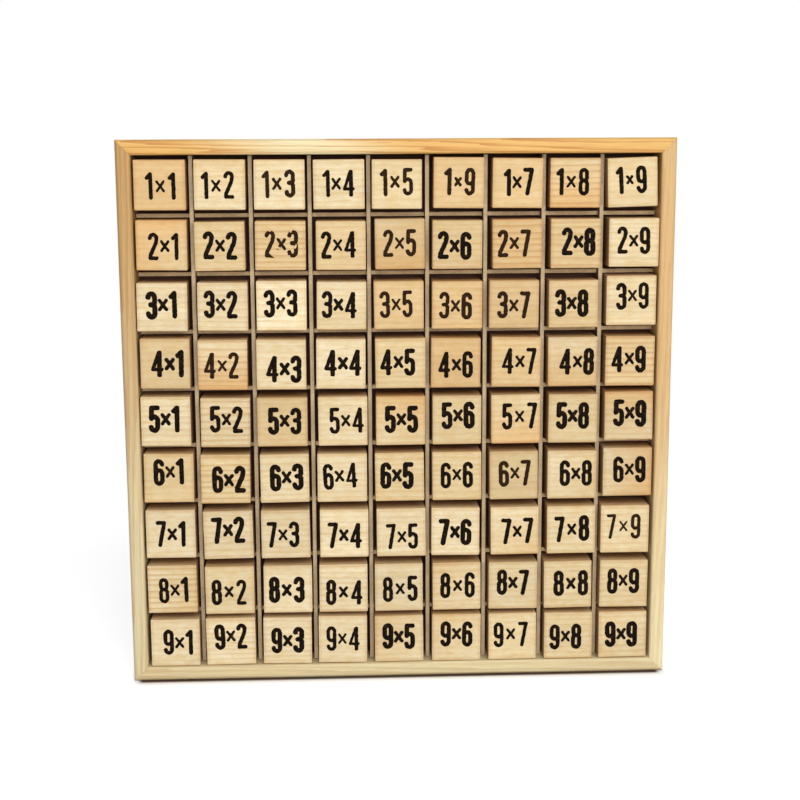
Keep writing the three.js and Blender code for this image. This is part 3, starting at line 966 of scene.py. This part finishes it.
def outlines(field, x, z):
    """Closed lines round the places where a field on a grid is below zero."""
    inside = field < 0
    kind = inside[:-1, :-1] * 1 + inside[:-1, 1:] * 2 + inside[1:, 1:] * 4 + inside[1:, :-1] * 8
    following = {}
    for row, column in np.argwhere((kind > 0) & (kind < 15)):
        sides = ((row, column, 0), (row, column + 1, 1), (row + 1, column, 0), (row, column, 1))
        for enter, leave in CROSSINGS[int(kind[row, column])]:
            following[tuple(map(int, sides[enter]))] = tuple(map(int, sides[leave]))
    loops = []
    while following:
        side = next(iter(following))
        loop = []
        while side in following:
            row, column, upright = side
            other = (row + 1, column) if upright else (row, column + 1)
            near, far = field[row, column], field[other]
            share = near / (near - far)
            loop.append((x[row, column] + share * (x[other] - x[row, column]),
                         z[row, column] + share * (z[other] - z[row, column])))
            side = following.pop(side)
        loops.append(loop)
    return loops


def thinned(loop, tolerance):
    """The loop without the points that lie within tolerance of a straight line between their neighbours."""
    kept = [loop[0]]
    for point, after in zip(loop[1:], loop[2:] + loop[:1]):
        run_x, run_z = after[0] - kept[-1][0], after[1] - kept[-1][1]
        length = math.hypot(run_x, run_z) or 1.0
        off = abs(run_x * (point[1] - kept[-1][1]) - run_z * (point[0] - kept[-1][0])) / length
        if off > tolerance or length > OUTLINE_SIDE * MM:
            kept.append(point)
    return kept


def signed_area(loop):
    """Twice the area inside a loop, above zero where it runs to the left."""
    return sum(a[0] * b[1] - b[0] * a[1] for a, b in zip(loop, loop[1:] + loop[:1]))


def within(point, loop):
    """Whether a point lies inside a loop."""
    crossings = 0
    for (ax, az), (bx, bz) in zip(loop, loop[1:] + loop[:1]):
        if (az > point[1]) != (bz > point[1]):
            crossings += point[0] < ax + (point[1] - az) / (bz - az) * (bx - ax)
    return crossings % 2 == 1


def inked_shapes(strokes, stroke_width, chance, broken):
    """The outlines of an inked mark, each with its holes. Ink spreads unevenly, so its edge ripples."""
    margin = stroke_width
    xs = [x for stroke in strokes for x, _ in stroke]
    zs = [z for stroke in strokes for _, z in stroke]
    step = INK_GRID * MM
    x, z = np.meshgrid(np.arange(min(xs) - margin, max(xs) + margin, step),
                       np.arange(min(zs) - margin, max(zs) + margin, step))
    field = distance_to(strokes, x, z) - stroke_width / 2
    field += INK_RIPPLE * MM * ripple(x, z, chance, RIPPLE_LENGTHS)
    if broken:
        missed = ripple(x, z, chance, MISS_LENGTHS) - MISS_LEVEL
        field = np.maximum(field, MISS_DEPTH * MM * missed)
    loops = [thinned(loop, OUTLINE_REACH * MM) for loop in outlines(field, x, z)]
    loops = [loop for loop in loops if len(loop) > 3 and abs(signed_area(loop)) > SMALLEST_BLOT * MM * MM]
    holes = [loop for loop in loops if signed_area(loop) < 0]
    blots = [loop for loop in loops if signed_area(loop) > 0]
    return [(blot, [hole for hole in holes if within(hole[0], blot)]) for blot in blots]


def add_ink(mesh, shapes, surface, film):
    """Adds each inked shape to a tile's mesh as a closed film, half sunk into the tile's front."""
    for outer, holes in shapes:
        loops = [outer] + holes
        points = [Vector((x, z, 0)) for loop in loops for x, z in loop]
        front = [mesh.verts.new((p.x, surface - film, p.y)) for p in points]
        back = [mesh.verts.new((p.x, surface + film, p.y)) for p in points]
        triangles = tessellate_polygon([[Vector((x, z, 0)) for x, z in loop] for loop in loops])
        for a, b, c in triangles:
            if (points[b] - points[a]).cross(points[c] - points[a]).z < 0:
                b, c = c, b
            for face in ((front[a], front[b], front[c]), (back[c], back[b], back[a])):
                if mesh.faces.get(face) is None:
                    mesh.faces.new(face).material_index = 1
        start = 0
        for loop in loops:
            for place in range(len(loop)):
                here = start + place
                there = start + (place + 1) % len(loop)
                wall = mesh.faces.new((front[there], front[here], back[here], back[there]))
                wall.material_index = 1
            start += len(loop)


def stamp_shapes(row, column, sizes, middle, chance):
    """The inked shapes of a tile's sum, about the given middle on its front."""
    place = f"{row}x{column}"
    change = listed(STAMP_WEIGHT, place)
    gap = sizes.stamp_gap * (WIDE_GAP if place in WIDE_STAMPS else 1)
    marks = (row, "x", UPSIDE_DOWN.get((row, column), column))
    drawn = []
    pen = 0.0
    for mark in marks:
        crossed = mark == "x"
        middle_line = sizes.stroke - crossed * sizes.cross_stroke
        width = middle_line + change * sizes.stroke_change
        width += chance.uniform(-STROKE_CHANCE, STROKE_CHANCE) * MM
        width *= FOUR_STROKE if mark == 4 else 1.0
        small = SMALL_CROSS if crossed and place in SMALL_CROSSES else 1.0
        tall = small * ((sizes.cross_height if crossed else sizes.digit_height) - middle_line)
        half_width = small * ((sizes.cross_width if crossed else sizes.digit_width) - middle_line) / 2
        reach = [x * half_width for stroke in STROKES[mark] for x, _ in stroke]
        left = pen + middle_line / 2 - min(reach)
        lift = chance.uniform(-MARK_CHANCE, MARK_CHANCE) * MM
        drawn.append((width, [[(left + x * half_width, (z - 0.5) * tall + lift) for x, z in stroke]
                              for stroke in STROKES[mark]]))
        pen = left + max(reach) + middle_line / 2 + gap
    half_run = (pen - gap) / 2
    turn = chance.uniform(-1, 1) * sizes.stamp_turn + math.radians(LEANING_STAMPS.get(place, 0))
    shapes = []
    for width, strokes in drawn:
        for stroke in strokes:
            for index, (x, z) in enumerate(stroke):
                x -= half_run
                stroke[index] = (middle[0] + x * math.cos(turn) - z * math.sin(turn),
                                 middle[1] + x * math.sin(turn) + z * math.cos(turn))
        shapes += inked_shapes(strokes, width, chance, place in BROKEN_STAMPS)
    return shapes


def tile_tones(place, points, half, colours, chance):
    """A tile's colour at each of its points, between pale sapwood and warm heartwood."""
    lean = chance.uniform(-LEAN_CHANCE, LEAN_CHANCE) + listed(TILE_WARMTH, place)
    lean -= PALE_ROW_LEAN * (place[0] in PALE_ROWS)
    bright = chance.uniform(*BRIGHT_RANGE) * (listed(TILE_BRIGHTNESS, place) or 1.0)
    right, up = TURNING_TILES.get(place, (0, 0))
    plain = Vector(colours.tile_plain[:3])
    warm = Vector(colours.tile_warm[:3])
    pale = Vector(colours.tile_pale[:3])
    tones = []
    for point in points:
        here = lean + (right * point.x + up * point.z) / half
        tones += [*(plain.lerp(warm if here > 0 else pale, min(abs(here), 1.0)) * bright), 1.0]
    return tones


def tile_mesh(place, size, sizes, shapes, colours, chance):
    """A sanded block with all its edges rounded, its sum in ink on the front, and its tone and grain stored
    on its points. Its corners are a little out of true."""
    mesh = bmesh.new()
    bmesh.ops.create_cube(mesh, size=1.0)
    for corner in mesh.verts:
        for axis in range(3):
            corner.co[axis] *= size[axis]
        corner.co.x += chance.uniform(-CORNER_CHANCE, CORNER_CHANCE) * MM
        corner.co.z += chance.uniform(-CORNER_CHANCE, CORNER_CHANCE) * MM
    bmesh.ops.bevel(mesh, geom=mesh.edges[:], offset=sizes.tile_ease, segments=3, profile=0.5,
                    affect="EDGES")
    for face in mesh.faces:
        face.smooth = True
    flat_faces = sorted(mesh.faces, key=lambda face: face.calc_area())[-6:]
    flat_points = {point for face in flat_faces for point in face.verts}
    edge_values = [0.0 if point in flat_points else 1.0 for point in mesh.verts]
    add_ink(mesh, shapes, -size[1] / 2, sizes.ink_film)
    data = bpy.data.meshes.new(f"tile_{place}")
    mesh.to_mesh(data)
    mesh.free()
    count = len(data.vertices)
    tones = tile_tones(place, [vertex.co for vertex in data.vertices], size[0] / 2, colours, chance)
    shift = [chance.uniform(-PLANK_SPREAD, PLANK_SPREAD) for _ in range(3)]
    figure = chance.uniform(*(STRONG_RINGS if place in FIGURED_TILES else FAINT_RINGS))
    values = {
        "tone": ("FLOAT_COLOR", "color", tones),
        "grain_shift": ("FLOAT_VECTOR", "vector", shift * count),
        "figure": ("FLOAT", "value", [figure] * count),
        "edge": ("FLOAT", "value", edge_values + [0.0] * (count - len(edge_values))),
        "dry": ("FLOAT", "value", [float(place in DRY_STAMPS)] * count),
    }
    for name, (kind, field, numbers) in values.items():
        data.attributes.new(name, kind, "POINT").data.foreach_set(field, numbers)
    return data


def tile_nodes():
    """The CAD node and the middle of each tile, by row and column. In a joined row the sides of the tiles'
    fronts, from left to right, give their places, and the points on those sides their heights."""
    found = {}
    for row in range(1, COUNT + 1):
        joined = f"tile_row_{row}"
        for column in range(1, COUNT + 1):
            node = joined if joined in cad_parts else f"tile_{row}x{column}"
            low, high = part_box(node)
            middle = (low + high) / 2
            if node == joined:
                front = low.y + FRONT_REACH * MM
                points = [v.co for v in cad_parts[node].data.vertices if v.co.y < front]
                sides = sorted({round(p.x, 5) for p in points})[2 * column - 2:2 * column]
                heights = [p.z for p in points if round(p.x, 5) in sides]
                middle.x = sum(sides) / 2
                middle.z = (min(heights) + max(heights)) / 2
            found[row, column] = (node, middle)
    return found


def most_shortfall(row, most):
    """Most by which the tiles of a row fall short of their full height."""
    if row <= SHORT_ROWS:
        return most
    return most * (OTHER_ROW_TRIM if row < COUNT else LAST_ROW_TRIM)


class BOARD_OT_tiles(bpy.types.Operator):
    """Make the 81 stamped tiles"""

    bl_idname = "board.tiles"
    bl_label = "Tiles"

    def execute(self, context):
        sizes = context.scene.board_sizes
        colours = context.scene.board_colours
        tile_low, tile_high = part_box("tile_1x1")
        full = tile_high - tile_low
        pine = tile_pine("Sanded pine", full / 2)
        ink = stamping_ink("Stamping ink", colours.ink)
        slat_low, slat_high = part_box("column_slat_1")
        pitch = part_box("column_slat_2")[0].x - slat_low.x
        half_cell = (pitch - (slat_high.x - slat_low.x)) / 2
        places = tile_nodes()
        row_heights = {}
        for (row, _), (_, middle) in places.items():
            row_heights[row] = min(middle.z, row_heights.get(row, middle.z))
        for (row, column), (node, middle) in places.items():
            place = f"{row}x{column}"
            chance = random.Random(f"tile {place}")
            narrowed = chance.uniform(*TRIM_WIDTH) * sizes.tile_trim
            shortened = chance.uniform(*TRIM_HEIGHT) * most_shortfall(row, sizes.tile_trim)
            size = (full.x - narrowed, full.y, full.z - shortened)
            turn = chance.uniform(-1, 1) * sizes.tile_turn
            turn = math.radians(LEANING_TILES.get(place, math.degrees(turn)))
            cell_x = (column - (COUNT + 1) / 2) * pitch
            reach = (size[0] * math.cos(turn) + size[2] * math.sin(abs(turn))) / 2
            room = half_cell - TILE_CLEARANCE * MM - reach
            middle.x = cell_x + max(-room, min(room, middle.x - cell_x))
            sum_rise = SUM_RISE * MM if 1 < row < COUNT else 0.0
            sum_height = row_heights[row] + sum_rise + listed(SUMS_UP, place) * MM
            stamp_middle = (cell_x + listed(SUMS_RIGHT, place) * MM - middle.x,
                            sum_height - middle.z + shortened / 2)
            shapes = stamp_shapes(row, column, sizes, stamp_middle, chance)
            mesh = tile_mesh(place, size, sizes, shapes, colours, chance)
            tile = link_piece(f"stamped_tile_{place}", mesh, [pine, ink])
            lift = full.x / 2 * math.sin(abs(turn)) - shortened / 2
            tile.matrix_world = (Matrix.Translation(middle + Vector((0, 0, lift)))
                                 @ Matrix.Rotation(-turn, 4, "Y"))
            tile.modifiers.new("Flat faces", "WEIGHTED_NORMAL").weight = 100
            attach(tile, node)
            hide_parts(node)
        return {"FINISHED"}


# The camera sensor's width in millimetres
SENSOR_WIDTH = 36.0

# The round floor's radius in metres and the number of its sides, and by how many millimetres the painted
# contact shadow at the foot stops short of the board's ends
FLOOR_RADIUS = 6.0
FLOOR_SIDES = 64
FOOT_INSET = 4


def showing_rays(tree):
    """A node that is 1 for rays from the camera, from reflections and through glass, and 0 for others."""
    path = add_node(tree, "LightPath")
    seen = add_node(
        tree, "Math", {"operation": "MAXIMUM"},
        {0: path.outputs["Is Camera Ray"], 1: path.outputs["Is Glossy Ray"]})
    shown = add_node(
        tree, "Math", {"operation": "MAXIMUM"},
        {0: seen.outputs[0], 1: path.outputs["Is Transmission Ray"]})
    return shown


def studio_floor(name, colour, foot):
    """Matt white paper, with a painted contact shadow in a narrow strip at the board's foot. It takes the
    board's shadow, and where the camera or a reflection sees it, it is lifted towards white: not at the
    foot, and wholly so further away."""
    material, tree = start_material(name)
    # Distances from the foot at which the painted contact shadow, the lift and the change to white start and
    # end
    contact_shadow_start = 0.5 * MM
    contact_shadow_end = 2.8 * MM
    lift_start = 1.5 * MM
    lift_end = 7 * MM
    white_start = 100 * MM
    white_end = 500 * MM
    coordinates = add_node(tree, "TexCoord")
    mirrored = add_node(tree, "VectorMath", {"operation": "ABSOLUTE"}, {0: coordinates.outputs["Object"]})
    beyond = add_node(tree, "VectorMath", {"operation": "SUBTRACT", 1: foot}, {0: mirrored.outputs[0]})
    outside = add_node(tree, "VectorMath", {"operation": "MAXIMUM"}, {0: beyond.outputs[0]})
    away = add_node(tree, "VectorMath", {"operation": "LENGTH"}, {0: outside.outputs[0]})
    far = add_node(
        tree, "MapRange", {**SMOOTH, "From Min": white_start, "From Max": white_end},
        {"Value": away.outputs["Value"]})
    lift = add_node(
        tree, "MapRange", {**SMOOTH, "From Min": lift_start, "From Max": lift_end, "To Max": 0.45},
        {"Value": away.outputs["Value"]})
    unshadowed = add_node(
        # Painted contact shadow: dark brown at the foot, fading to the paper's colour
        tree, "MapRange", {**SMOOTH, "From Min": contact_shadow_start, "From Max": contact_shadow_end},
        {"Value": away.outputs["Value"]})
    contact_shadowed = add_node(tree, "Mix", {**BLEND, 6: linear("#57463A"), 7: colour}, {0: unshadowed.outputs[0]})
    shown = showing_rays(tree)
    paper = add_node(tree, "BsdfDiffuse", None, {"Color": contact_shadowed.outputs[2]})
    strength = add_node(
        tree, "Math", {"operation": "MULTIPLY"},
        {0: shown.outputs[0], 1: lift.outputs[0]})
    lifted = add_node(tree, "Emission", {"Color": linear("#FFFFFF")}, {"Strength": strength.outputs[0]})
    near_floor = add_node(tree, "AddShader", None, {0: paper.outputs[0], 1: lifted.outputs[0]})
    white = add_node(tree, "Emission", {"Color": linear("#FFFFFF"), "Strength": 1.0})
    far_share = add_node(
        tree, "Math", {"operation": "MULTIPLY"},
        {0: far.outputs[0], 1: shown.outputs[0]})
    surface = add_node(
        tree, "MixShader", None,
        {0: far_share.outputs[0], 1: near_floor.outputs[0], 2: white.outputs[0]})
    add_node(tree, "OutputMaterial", None, {"Surface": surface.outputs[0]})
    return material


def light_world(scene, fill):
    """An even soft light from all round, which shows as white behind the board."""
    world = bpy.data.worlds.new("Soft white studio")
    scene.world = world
    world.use_nodes = True
    tree = world.node_tree
    tree.nodes.clear()
    shown = showing_rays(tree)
    strength = add_node(tree, "MapRange", {"To Min": fill, "To Max": 1.0}, {"Value": shown.outputs[0]})
    sky = add_node(tree, "Background", {"Color": linear("#FFFFFF")}, {"Strength": strength.outputs[0]})
    add_node(tree, "OutputWorld", None, {"Surface": sky.outputs[0]})


def add_lamp(scene, name, place, aim, side, power):
    """A square soft lamp that faces a point."""
    lamp = bpy.data.lights.new(name, "AREA")
    lamp.shape = "SQUARE"
    lamp.size = side
    lamp.energy = power
    holder = bpy.data.objects.new(name, lamp)
    scene.collection.objects.link(holder)
    holder.location = place
    holder.rotation_euler = (Vector(aim) - Vector(place)).to_track_quat("-Z", "Y").to_euler()


class BOARD_OT_stage(bpy.types.Operator):
    """Set the camera, the lamps and the floor"""

    bl_idname = "board.stage"
    bl_label = "Stage"

    def execute(self, context):
        scene = context.scene
        stage = scene.board_stage
        scene.view_settings.view_transform = "Standard"
        lens = bpy.data.cameras.new("Camera")
        lens.sensor_fit = "HORIZONTAL"
        lens.sensor_width = SENSOR_WIDTH
        lens.lens = stage.lens
        camera = bpy.data.objects.new("Camera", lens)
        scene.collection.objects.link(camera)
        camera.matrix_world = (Matrix.Translation(stage.camera_place)
                               @ Matrix.Rotation(-stage.camera_right, 4, "Z")
                               @ Matrix.Rotation(math.radians(90) - stage.camera_down, 4, "X")
                               @ Matrix.Rotation(-stage.camera_roll, 4, "Z"))
        scene.camera = camera
        light_world(scene, stage.fill)
        middle = (0, 0, (cad_bounds[0][2] + cad_bounds[1][2]) / 2)
        add_lamp(scene, "Key lamp", stage.key_place, middle, stage.lamp_side, stage.key_power)
        add_lamp(scene, "Rear lamp", stage.rear_place, middle, stage.lamp_side, stage.rear_power)
        paper = bmesh.new()
        bmesh.ops.create_circle(paper, cap_ends=True, segments=FLOOR_SIDES, radius=FLOOR_RADIUS)
        mesh = bpy.data.meshes.new("floor")
        paper.to_mesh(mesh)
        paper.free()
        foot = (cad_bounds[1][0] - FOOT_INSET * MM, cad_bounds[1][1], 0.0)
        floor = link_piece("floor", mesh, [studio_floor("White paper", stage.floor, foot)])
        floor.location.z = cad_bounds[0][2]
        return {"FINISHED"}


class BOARD_PT_build(bpy.types.Panel):
    """Lists the sizes, colours and steps of the board"""

    bl_idname = "BOARD_PT_build"
    bl_label = "Multiplication Board"
    bl_space_type = "VIEW_3D"
    bl_region_type = "UI"
    bl_category = "Board"

    def draw(self, context):
        for step in (BOARD_OT_stage, BOARD_OT_rails, BOARD_OT_back, BOARD_OT_slats, BOARD_OT_tiles):
            self.layout.operator(step.bl_idname)
        for group in (context.scene.board_sizes, context.scene.board_colours, context.scene.board_stage):
            box = self.layout.box()
            for name in group.__annotations__:
                box.prop(group, name)


GROUPS = {"board_sizes": BoardSizes, "board_colours": BoardColours, "board_stage": BoardStage}
CLASSES = (*GROUPS.values(), BOARD_OT_stage, BOARD_OT_rails, BOARD_OT_back, BOARD_OT_slats, BOARD_OT_tiles,
           BOARD_PT_build)


def register():
    for kind in CLASSES:
        bpy.utils.register_class(kind)
    for name, group in GROUPS.items():
        setattr(bpy.types.Scene, name, bpy.props.PointerProperty(type=group))


def unregister():
    for name in GROUPS:
        delattr(bpy.types.Scene, name)
    for kind in reversed(CLASSES):
        bpy.utils.unregister_class(kind)


def main():
    """Builds the board in order."""
    register()
    bpy.ops.board.stage()
    bpy.ops.board.rails()
    bpy.ops.board.back()
    bpy.ops.board.slats()
    bpy.ops.board.tiles()


if __name__ == "__main__":
    main()
